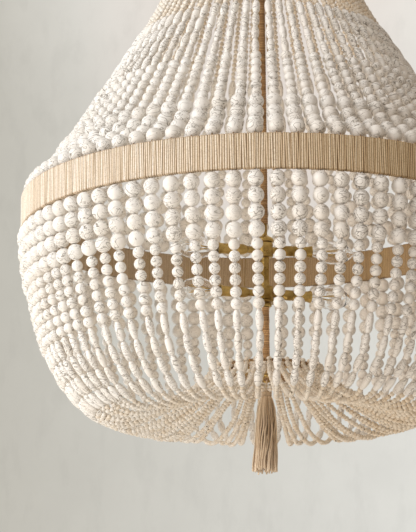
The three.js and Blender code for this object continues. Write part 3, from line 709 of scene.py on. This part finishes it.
STRANDS, SECTORS = 77, 7
PER_SECTOR = STRANDS // SECTORS
STRAND_TURN = TURN / STRANDS
FIRST_STRAND = -QUARTER - 0.38 * STRAND_TURN
STRAND_RADIUS, STRAND_GAP, BOWL_DEPTH = 315.0, 0.3, 247
UPPER_SHARES = [(1, 0), (0.965, 0.024), (0.869, 0.07), (0.793, 0.14), (0.652, 0.27), (0.462, 0.454),
                (0.244, 0.668)]
LOWER_SHARES = [(1, 0), (0.998, 0.05), (0.99, 0.16), (0.965, 0.32), (0.926, 0.5), (0.865, 0.68), (0.774, 0.84),
                (0.632, 0.966), (0.503, 1), (0.228, 0.892)]
# Each bead's width, length, segments, rings, hole and fullness
BEADS = {
    "large": (20.0, 20.0, 22, 11, 1.3, 2.0),
    "small": (14.0, 14.0, 18, 9, 1.2, 2.0),
    "oval": (10.0, 26.0, 14, 9, 1.9, 2.25),
    "seed": (6.8, 6.4, 10, 6, 0.9, 2.0),
}
RUN = ["large"] * 4 + ["small"] * 6 + ["oval"] * 4
RUN_ENDS = np.cumsum([BEADS[kind][1] for kind in RUN])
WIDTHS = [BEADS[kind][0] for kind in [*RUN, "seed"]]
FIRST_GAP, FIRST_SEED, LAST_SEED = 2.3, 6.4, 5.2
THREAD, THREAD_STOPS = 0.75, 64
# How strings hang: the share of the room beside them, the most they stray, and where they draw together
ROOM_SHARE, STRAY_ABOVE, STRAY_BELOW = 0.42, 2.6, 4.5
WAVES = [(9, 0.4, 1.0), (14, 2.1, 0.7), (23, 4.4, 0.5)]
CLUMP_MOST, CLUMP_SLOPE, CLUMP_INSIDE = 3.5, 0.055, 50
END_FADE, SLACK_FROM, DROOP = 70.0, 255.0, (-2.0, 6.5)
CROWD = 2.6


def smooth_line(places, per_part=60):
    """A centripetal curve through the places, as many close points."""
    p = [np.array(place, float) for place in places]
    p = [2 * p[0] - p[1], *p, 2 * p[-1] - p[-2]]
    line = []
    for a, b, c, d in zip(p, p[1:], p[2:], p[3:]):
        before, here, after = (max(np.linalg.norm(v - u) ** 0.5, 1e-4) for u, v in ((a, b), (b, c), (c, d)))
        slope_in = ((b - a) / before - (c - a) / (before + here) + (c - b) / here) * here
        slope_out = ((c - b) / here - (d - b) / (here + after) + (d - c) / after) * here
        bend = -3 * b + 3 * c - 2 * slope_in - slope_out
        twist = 2 * b - 2 * c + slope_in + slope_out
        for t in np.linspace(0, 1, per_part, endpoint=False):
            line.append(b + slope_in * t + bend * t ** 2 + twist * t ** 3)
    return np.array([*line, p[-2]])


class Path:
    """A string's way in the plane of its own radius, asked for by length."""

    def __init__(self, places):
        self.line = smooth_line(places)
        gaps = np.linalg.norm(np.diff(self.line, axis=0), axis=1)
        self.along = np.concatenate([[0], np.cumsum(gaps)])
        self.length = self.along[-1]

    def at(self, place):
        return [np.interp(place, self.along, self.line[:, i]) for i in (0, 1)]


def places_by(shares, inner, start, rise):
    return [(inner + out * (STRAND_RADIUS - inner), start + share * rise) for out, share in shares]


upper_start, lower_start = HOOP_HIGH + STRAND_GAP, HOOP_LOW - STRAND_GAP
upper_places = places_by(UPPER_SHARES, CROWN_RADIUS, upper_start, CROWN_Z - upper_start)
lower_places = places_by(LOWER_SHARES, BASE_RADIUS, lower_start, -BOWL_DEPTH)
upper_path = Path([*upper_places, (CROWN_RADIUS, CROWN_Z - BINDING_HEIGHT / 2)])
lower_path = Path([*lower_places, (BASE_RADIUS + 10.5, BASE_Z - BINDING_HEIGHT / 2),
                   (BASE_RADIUS + 9.8, BASE_Z + 2.5)])


def bead_shape(width, length, segments, rings, hole, fullness):
    """A bead on end, with a small flat round each hole."""
    rows = []
    limit = math.asin(min(hole / (width / 2), 0.9))
    for i in range(rings + 1):
        angle = limit + (math.pi - 2 * limit) * i / rings
        height = -length / 2 * math.cos(angle) / math.cos(limit)
        rows.append((width / 2 * math.sin(angle) ** (2 / fullness), height))
    return turned(rows, segments)


BEAD_SHAPES = {kind: bead_shape(*sizes) for kind, sizes in BEADS.items()}


def gather(angle):
    """How strings draw together in clumps: the same slow wave for neighbours."""
    return sum(size * math.sin(count * angle + start) for count, start, size in WAVES)


def faded(value, full, none):
    """One at full, none at none, a straight line between them."""
    return max(0.0, min(1.0, (value - none) / (full - none)))


def slack_at(path, place):
    """How freely a lower string's small beads hang: none where they begin and none at the ring."""
    share = (place - SLACK_FROM) / (path.length - SLACK_FROM)
    return math.sin(math.pi * max(0.0, share)) ** 2


def sway_at(path, place, radius, sway, clump, lower):
    """How far the string hangs aside, in millimetres: none at its ends, and never into its neighbour."""
    room = max(0.0, radius * STRAND_TURN - WIDTHS[np.searchsorted(RUN_ENDS, place, "right")])
    ease = faded(place, END_FADE, 0) * faded(path.length - place, END_FADE, 0)
    own = sway * min(STRAY_BELOW if lower else STRAY_ABOVE, ROOM_SHARE * room) * ease
    if not lower:
        return own
    drawn = clump * min(CLUMP_MOST, max(0.0, CLUMP_SLOPE * (radius - CLUMP_INSIDE)))
    drawn *= faded(place, 300, 200) * faded(path.length - place, 25, 0)
    return own * 0.7 + drawn + STRAY_BELOW * sway * slack_at(path, place)


def hang_string(path, angle, number, rng, batches, lower):
    """Threads one string's beads along its path."""
    beads = [(kind, BEADS[kind][1] * rng.uniform(0.985, 1.012)) for kind in RUN]
    start = 0.0 if lower else FIRST_GAP
    rest = path.length - (start + sum(length for _, length in beads))
    last = LAST_SEED if lower else FIRST_SEED
    run = np.linspace(FIRST_SEED, last, round(2 * rest / (FIRST_SEED + last)))
    beads += [("seed", length * rest / run.sum()) for length in run]
    sways = [rng.uniform(-1, 1) for _ in range(3)]
    side = 1 if number % 2 else -1
    droop = rng.uniform(*DROOP)
    clump = gather(angle)
    out = np.array([math.cos(angle), math.sin(angle), 0])
    aside = np.array([-math.sin(angle), math.cos(angle), 0])

    def spot(place):
        share = place / path.length
        sway = sways[0] * (1 - share) + sways[1] * share + 0.4 * sways[2] * math.sin(3 * math.pi * share)
        radius, height = path.at(place)
        point = out * radius + aside * sway_at(path, place, radius, max(-1, min(1, sway)), clump, lower)
        if not lower:
            return point + np.array([0, 0, height])
        crowd = side * CROWD * faded(place, path.length - 30, path.length - 130)
        height += crowd - droop * slack_at(path, place)
        return point + out * crowd * faded(place, path.length, path.length - 25) + np.array([0, 0, height])

    place = start
    for kind, length in beads:
        middle = place + length / 2
        centre = spot(middle)
        heading = unit(spot(min(middle + 2, path.length)) - spot(max(middle - 2, 0)))
        left = unit(np.cross(heading, aside))
        ahead = np.cross(heading, left)
        roll = rng.uniform(0, TURN)
        x_axis = left * math.cos(roll) + ahead * math.sin(roll)
        y_axis = np.cross(heading, x_axis)
        corners, *faces = BEAD_SHAPES[kind]
        width = rng.uniform(0.975, 1.012)
        if kind == "seed":
            width = rng.uniform(0.9, 1.06)
            centre = centre + (out * rng.uniform(-0.3, 0.3) + aside * rng.uniform(-0.3, 0.3))
            heading = heading + out * rng.uniform(-0.1, 0.1) + aside * rng.uniform(-0.1, 0.1)
        scaled = corners * np.array([width, width, length / BEADS[kind][1] * 0.995])
        batch = batches["seed" if kind == "seed" else "stone"]
        batch.add(centre + scaled @ np.stack([x_axis, y_axis, heading]), *faces, rng.uniform(-1, 1))
        place += length
    stops = np.linspace(0, path.length, THREAD_STOPS)
    batches["thread"].add(*sweep([spot(stop) for stop in stops], circle(THREAD, 4), aside))


for half, path, seed in (("upper", upper_path, 1000), ("lower", lower_path, 2000)):
    for sector in range(SECTORS):
        batches = {"stone": Batch(), "seed": Batch(), "thread": Batch()}
        rng = random.Random(seed + sector)
        for number in range(sector * PER_SECTOR, (sector + 1) * PER_SECTOR):
            hang_string(path, FIRST_STRAND + number * STRAND_TURN, number, rng, batches, half == "lower")
        node = f"{half}_strands_{sector + 1}"
        solid(f"{half}_beads_{sector + 1}", node, batches["stone"], STONE, None)
        solid(f"{half}_seed_beads_{sector + 1}", node, batches["seed"], SEED, None)
        solid(f"{half}_threads_{sector + 1}", None, batches["thread"], STEM_JUTE, None)

# ---------------------------------------------------------------- ribs

RIB_INSET, RIB_FOOT, RIB_HEAD = 21, 309.6, 82.3
rib_line = smooth_line([
    (RIB_FOOT, HOOP_Z - 8), (RIB_FOOT, HOOP_Z + 8),
    *((radius - RIB_INSET, height) for radius, height in upper_places[2:]),
    (RIB_HEAD, CROWN_Z - 10), (RIB_HEAD, CROWN_Z + 5)], 12)
for i in range(4):
    angle = FIRST_STRAND + round(i * STRANDS / 4) * STRAND_TURN
    line = ring(rib_line[:, 0], rib_line[:, 1], angle)
    rib = sweep(line, square_bar(0.8), (-math.sin(angle), math.cos(angle), 0))
    solid(f"rib_{i + 1}_bar", f"frame_rib_{i + 1}", [rib], STEEL)

# ---------------------------------------------------------------- lamps

UPPER_TURN, LOWER_TURN = math.radians(13.5), math.radians(21)
SOCKET_START, SOCKET_END, SOCKET_FLOOR = 23.3, 63.3, 35.3
CAP_START, CAP_END = 35.6, 59.6
GLASS_START, GLASS_LENGTH, GLASS_NECK, GLASS_RADIUS, GLASS_WALL = 59.9, 62.0, 5.2, 15.0, 0.7
GLASS_SHARES = [(0, 0), (0.06, 0.03), (0.12, 0.12), (0.22, 0.42), (0.32, 0.74), (0.42, 0.95), (0.52, 1.0),
                (0.62, 0.97), (0.72, 0.83), (0.80, 0.63), (0.87, 0.36), (0.93, 0.05), (0.965, -0.2),
                (0.985, -0.34)]


def lamp_body(name, node, turn):
    """A hub with two outlets across from each other; returns the height of their axis."""
    low, high = span(node)
    centre = (low + high) / 2
    hub = spun([
        (BORE, low), (9.4, low), (11, low + 1.4), (11, centre - 5.6), (10.5, centre - 5), (10.5, centre + 5),
        (11, centre + 5.6), (11, high - 1.4), (9.4, high), (BORE, high)], 0.5, 48, 2)
    outlet = turned(rounded([
        (0, 8), (4.5, 8), (4.5, 13), (3.9, 13.5), (3.9, 14.5), (4.5, 15), (4.5, 23), (0, 23)], 0.4), 28)
    solid(name, node, [hub, *(laid(outlet, turn + i * math.pi, centre) for i in (0, 1))])
    return centre


def socket_shape():
    return turned(rounded([
        (0, SOCKET_START), (4.5, SOCKET_START), (5.2, SOCKET_START + 1), (7, SOCKET_START + 6),
        (7, SOCKET_START + 13), (6.6, SOCKET_START + 13.5), (6.6, SOCKET_START + 14.5), (7, SOCKET_START + 15),
        (7, SOCKET_END - 5), (7.4, SOCKET_END - 3.5), (8.2, SOCKET_END - 0.6), (8.2, SOCKET_END),
        (5.9, SOCKET_END), (5.9, SOCKET_FLOOR), (0, SOCKET_FLOOR)], 0.45), 40)


def cap_shape():
    """A bulb's screw cap: a tip, an insulator's cone and rolled thread."""
    profile = [(0, CAP_START), (2.2, CAP_START), (2.7, CAP_START + 1), (4.4, CAP_START + 3)]
    place = CAP_START + 3.4
    while place < CAP_END - 5:
        profile += [(4.7, place), (5.4, place + 0.8), (4.7, place + 1.6)]
        place += 1.8
    return turned(profile + [(5.2, CAP_END - 4), (5.2, CAP_END), (0, CAP_END)], 36)


def glass_shape():
    """Thin glass: one skin outside and one inside, which thicken to a point at the tip."""
    tip = GLASS_START + GLASS_LENGTH
    places = [(GLASS_NECK + out * (GLASS_RADIUS - GLASS_NECK), GLASS_START + along * GLASS_LENGTH)
              for along, out in GLASS_SHARES]
    line = smooth_line([*places, (0.8, tip)], 3)
    outside = [(max(r, 0.5), z) for r, z in line]
    inside = [(max(r - GLASS_WALL, 0.25), z - (GLASS_WALL if z > tip - 12 else 0)) for r, z in line]
    return turned([*outside, (0, tip), (0, tip - 0.9), *reversed(inside[:-1])], 36)


def mount_shape(start):
    """The glass mount inside a bulb."""
    return turned(rounded([(0, start), (3.6, start), (2.4, start + 8), (1.2, start + 16), (0, start + 17)]), 16)


def filaments(start):
    """Four sticks that spread from the mount."""
    t = np.linspace(0, 1, 6)
    for angle in (TURN * (i + 0.5) / 4 for i in range(4)):
        line = ring(1.6 + 4.6 * t, start + 15 + 27 * t, angle)
        yield sweep(line, circle(0.55, 6), (-math.sin(angle), math.cos(angle), 0))


low, high = span("cluster_cap")
solid("lamp_cap", "cluster_cap", [spun([
    (BORE, low), (11.2, low), (12, low + 1), (12, low + 3.6), (10.6, low + 5.6), (7, high - 1.4), (5.4, high),
    (BORE, high)], 0.7, 48)])

low, high = span("cluster_spacer")
solid("lamp_spacer", "cluster_spacer", [spun([
    (BORE, low), (6, low), (6, low + 5), (5.5, low + 6), (5.5, high - 6), (6, high - 5), (6, high), (BORE, high)],
    0.5, 40)])

solid("lamp_disc", "cluster_disc", [ring_of(15, BORE, *span("cluster_disc"), 0.8, 64)])

lamps = []
for level, turn in (("upper", UPPER_TURN), ("lower", LOWER_TURN)):
    axis = lamp_body(f"lamp_body_{level}", f"{level}_cluster_body", turn)
    lamps += [(axis, turn), (axis, turn + math.pi)]
# What each lamp's pieces and their nodes are called, their shapes, finish and sharpness
LAMP_PIECES = [
    ("socket", "socket", [socket_shape()], BRASS, METAL_EDGE),
    ("bulb_cap", "bulb_base", [cap_shape()], CAP_METAL, METAL_EDGE),
    ("bulb", "bulb_glass", [glass_shape()], GLASS, None),
    ("mount", None, [mount_shape(GLASS_START + 2)], GLASS, None),
    ("filament", None, [*filaments(GLASS_START + 2)], PHOSPHOR, None),
]
for i, (axis, turn) in enumerate(lamps, 1):
    for name, node, shapes, finish, sharp in LAMP_PIECES:
        shapes = [laid(shape, turn, axis) for shape in shapes]
        solid(f"lamp_{name}_{i}", node and f"{node}_{i}", shapes, finish, sharp)

# ---------------------------------------------------------------- tassel

EYE_WIRE, EYE_INNER = 2, 6
CORD_WIRE, CORD_INNER = 2, 5
HEAD, SKIRT, SKIRT_RADIUS, SKIRT_MOST = 8, 98, 15.6, 16.6
HEAD_ROWS, SKIRT_ROWS = 5, 25
# How far down the skirt, and what share of its radius it has there
SKIRT_SHARES = np.transpose([(0, 0.32), (0.05, 0.50), (0.17, 0.72), (0.33, 0.82), (0.55, 0.87), (0.75, 0.92),
                             (1, 1.02)])
# Layers of yarn: how far out, how many yarns, how much darker, a painted shade for the layers further in
LAYERS = [(1.0, 36, 0.0), (0.84, 34, -0.5), (0.62, 24, -0.9)]
YARN_SIZES = [0.7] * 4 + [0.8] + [min(1.1, 0.85 + 0.05 * n) for n in range(SKIRT_ROWS)]

low, high = span("bottom_eye")
centre = low + EYE_INNER / 2 + EYE_WIRE
solid("base_eye", "bottom_eye", [turned(rounded([
    (0, centre + 3.2), (3.4, centre + 3.2), (5, centre + 4.6), (5, high), (0, high)], 0.3), 32),
    wire_loop(centre, EYE_INNER, 0, EYE_WIRE, True, 10)])

low, high = span("tassel_cord")
cord = wire_loop((low + high) / 2, CORD_INNER, high - low - CORD_INNER - 2 * CORD_WIRE, CORD_WIRE, False, 10)
solid("tassel_loop", "tassel_cord", [cord], YARN, None)

yarn_rng = random.Random(77)


def yarn_shape(angle, depth):
    """One yarn: over the tassel's head, through its band and down the skirt."""
    drift = yarn_rng.uniform(-0.22, 0.22)
    waves = [[yarn_rng.uniform(*limits) for limits in ((5, 9), (0, TURN), (0.8, 2.0))],
             [yarn_rng.uniform(*limits) for limits in ((13, 20), (0, TURN), (0.3, 0.7))]]
    reach = depth * yarn_rng.uniform(0.86, 1.0)
    end = yarn_rng.uniform(0.965, 1.02) - (0.04 if yarn_rng.random() < 0.15 else 0)
    bow, hang = np.linspace(0, 1, HEAD_ROWS), np.linspace(0, end, SKIRT_ROWS)
    out = SKIRT_RADIUS * np.interp(hang, *SKIRT_SHARES)
    out *= np.where(hang > 0.12, reach, 1 - (1 - reach) * hang / 0.12)
    radius = np.concatenate([1.2 + 3.3 * np.sin(bow * QUARTER), np.maximum(out, 4.4)])
    height = TASSEL_HIGH - np.concatenate([0.95 + (HEAD - 1) * bow ** 1.6, HEAD + SKIRT * hang])
    wave = sum(size * np.sin(start + bends * hang) for bends, start, size in waves) * np.minimum(1, 2.5 * hang)
    wave = np.concatenate([0 * bow, wave])
    turn = angle + drift * np.concatenate([0 * bow, hang])
    lean = -4.0 * np.maximum(0.0, (TASSEL_HIGH - HEAD - height) / SKIRT) ** 1.5
    points = ring(np.minimum(radius + 0.6 * wave, SKIRT_MOST), height, turn) + ring(wave, 0, turn + QUARTER)
    points[:, 0] += lean
    return sweep(points, circle(1.0, 6), (-math.sin(angle), math.cos(angle), 0), sizes=YARN_SIZES)


def tassel_yarns():
    """A core in a painted shade's dark colour and the layers of yarn round it, those further in darker as painted
    shade.
    """
    core = [(0, 70), (6, 60), (7, 40), (3.8, HEAD + 1), (4.2, 6), (4.2, 3), (2.6, 0.8), (0, 0.6)]
    core = rounded([(radius, TASSEL_HIGH - down) for radius, down in core], 1.0)
    # The core's tone of -2 gives it the painted shade colour
    batch = Batch([(*turned(core, 20), -2.0)])
    for depth, count, darker in LAYERS:
        for i in range(count):
            yarn = yarn_shape(TURN * (i + yarn_rng.uniform(-0.35, 0.35)) / count, depth)
            batch.add(*yarn, yarn_rng.uniform(-1, 1) + darker)
    return batch


solid("tassel_yarns", "tassel", tassel_yarns(), YARN, None)
band = wound_column(*span("tassel_band"), 6.6, 5.3, 1.25, stem_rng, 24, 0.35)
solid("tassel_binding", "tassel_band", [band], YARN, YARN_EDGE)

# ---------------------------------------------------------------- floor, background and light

WALL_LEFT, WALL_RIGHT = shade(0.755, 0.742, 0.703), shade(0.875, 0.870, 0.845)
WALL_TOP, WALL_WARM = shade(0.925, 0.912, 0.885), shade(0.893, 0.855, 0.822)
ROOM_LEFT, ROOM_RIGHT, ROOM_STRENGTH = (0.98, 0.97, 0.95, 1), (0.20, 0.14, 0.08, 1), 1.14
# From where to where the wall's painted light turns it lighter to the right and bright at its top left, and where
# it is warm behind the strings
RIGHT_SIDE, TOP_HEIGHT, TOP_SIDE = (-0.125, 0.07), (0.27, 0.345), (-0.129, -0.034)
WARM_LEFT, WARM_RIGHT, WARM_FOOT, WARM_HEAD = (-0.085, -0.02), (0.085, 0.02), (0.21, 0.27), (0.44, 0.35)
FLOOR_RADIUS, FLOOR_SIDES, FLOOR_LEVEL = 14.0, 96, -4.6
MIDDLE = Vector((0, 0, -0.62))
INNER_COLOUR, INNER_SIZE = (1.0, 0.87, 0.70), 0.09


def make_floor():
    mesh = bpy.data.meshes.new("floor")
    rim = [(x, y, FLOOR_LEVEL) for x, y in circle(FLOOR_RADIUS, FLOOR_SIDES)]
    mesh.from_pydata(rim, [], [tuple(range(FLOOR_SIDES))])
    mesh.materials.append(mottled("pale_floor", 3, 4, 0.6, shade(0.93, 0.92, 0.90), shade(0.90, 0.89, 0.87), 0.8))
    show("floor", mesh)


def make_world():
    """The wall, which the camera, metal and glass see, and the room's own light on everything else."""
    world = bpy.data.worlds.new("studio")
    bpy.context.scene.world = world
    world.use_nodes = True
    world.node_tree.nodes.clear()
    s = Shader(world, "Generated")
    rays = s.add("LightPath").outputs
    seen = s.math("MAXIMUM", s.math("MAXIMUM", rays["Is Camera Ray"], rays["Is Glossy Ray"]),
                  rays["Is Transmission Ray"])
    # Painted light on the wall: brighter near its top and lighter to the right
    glow = s.times(s.band(s.z, *TOP_HEIGHT), s.band(s.x, *TOP_SIDE, 0.0, 0.95))
    plain = s.mix(glow, s.mix(s.band(s.x, *RIGHT_SIDE), WALL_LEFT, WALL_RIGHT), WALL_TOP)
    beside = s.times(s.band(s.x, *WARM_LEFT), s.band(s.x, *WARM_RIGHT))
    behind = s.times(beside, s.times(s.band(s.z, *WARM_FOOT), s.band(s.z, *WARM_HEAD)))
    mottle = s.times(s.band(s.noise(38, 6, 0.62), 0.3, 0.7, 0.975, 1.025),
                     s.band(s.noise(130, 6, 0.62, s.stretch((1, 1, 0.3))), 0.32, 0.5, 0.96, 1.005))
    wall = s.add("Background", {"Color": s.mix(behind, plain, WALL_WARM), "Strength": mottle}).outputs[0]
    room = s.mix(s.band(s.x, -1, 0.7), ROOM_LEFT, ROOM_RIGHT)
    light = s.add("Background", {"Color": room, "Strength": ROOM_STRENGTH}).outputs[0]
    s.add("OutputWorld", {0: s.add("MixShader", {0: seen, 1: light, 2: wall}).outputs[0]})


def add_light(name, kind, place, power, colour, **settings):
    data = bpy.data.lights.new(name, kind)
    for key, value in dict(settings, energy=power, color=colour).items():
        setattr(data, key, value)
    lamp = show(name, data)
    lamp.location = place
    return lamp


make_floor()
make_world()
for name, place, size, power, colour in (("window", (-3.3, -2.5, 0.5), 2.8, 110, (1.0, 0.985, 0.97)),
                                         ("bounce", (-1.5, -1.2, -3.8), 2.4, 43, (1.0, 0.90, 0.78))):
    lamp = add_light(name, "AREA", place, power, colour, shape="SQUARE", size=size)
    lamp.rotation_mode = "QUATERNION"
    lamp.rotation_quaternion = (MIDDLE - Vector(place)).to_track_quat("-Z", "Y")
# Soft lights round the lamps and in the crown, which no ray from the camera meets
for name, height, power in (("inside_bowl", -0.77, 0.55), ("inside_crown", -0.5, 0.18)):
    lamp = add_light(name, "POINT", (0, 0, height), power, INNER_COLOUR, shadow_soft_size=INNER_SIZE)
    lamp.visible_camera = lamp.visible_glossy = lamp.visible_transmission = False

bpy.context.scene.view_settings.view_transform = "Standard"
